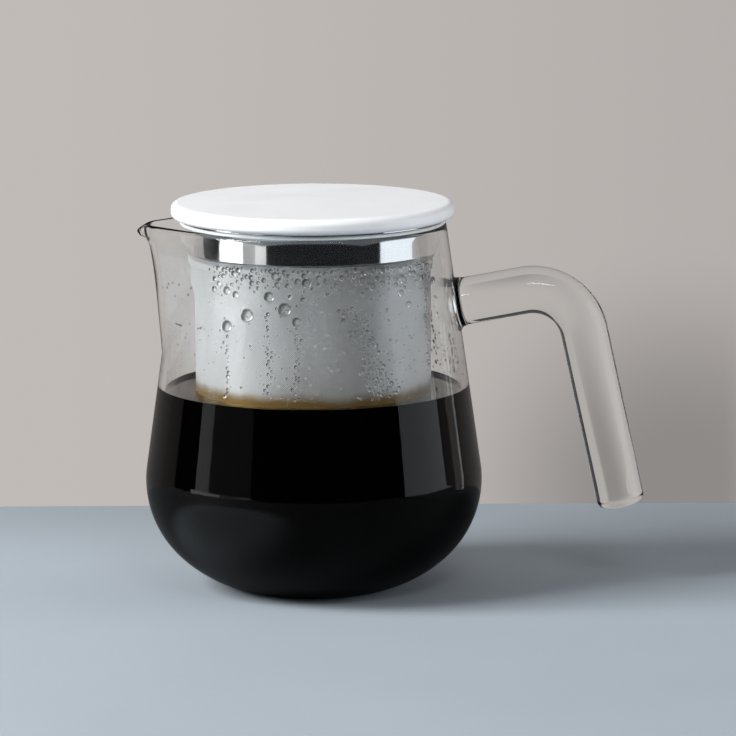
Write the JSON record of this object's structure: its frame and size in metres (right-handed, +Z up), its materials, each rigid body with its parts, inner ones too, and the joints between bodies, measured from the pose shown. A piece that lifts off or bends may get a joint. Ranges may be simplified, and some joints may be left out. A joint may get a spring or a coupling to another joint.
{
  "type": "cold brew coffee maker",
  "caption": "Glass cold brew coffee jug with a bent glass rod handle, pulled pouring spout, flat disc lid and lift-out metal filter.",
  "frame": {"origin": "middle of the jug's flat foot, on the surface that it stands on", "axes": "+Z up along the jug's axis, +X towards the handle, -X towards the spout"},
  "size_m": [0.1923, 0.128, 0.1476],
  "materials": {
    "clear_glass": "clear, fire polished",
    "white_lid": "satin white",
    "lid_underside": "matte white",
    "silicone": "translucent silicone",
    "polished_steel": "polished stainless steel",
    "steel_screen": "finely perforated stainless steel"
  },
  "bodies": {
    "jug": {"jug_glass": "clear_glass", "handle_rod": "clear_glass"},
    "filter": {"neck_seal": "silicone", "filter_flange": "polished_steel", "filter_collar": "polished_steel", "screen_tube": "steel_screen", "screen_seam": "steel_screen", "base_ring": "polished_steel", "base_screen": "steel_screen"},
    "lid": {"lid_cap": "white_lid", "lid_plug": "lid_underside", "lid_gasket": "silicone"}
  },
  "joints": [
    {"name": "filter_lift", "type": "slide", "parent": "jug", "child": "filter", "axis": [0, 0, 1], "range_m": [0, 0.13]},
    {"name": "lid_lift", "type": "slide", "parent": "filter", "child": "lid", "axis": [0, 0, 1], "range_m": [0, 0.04]}
  ]
}
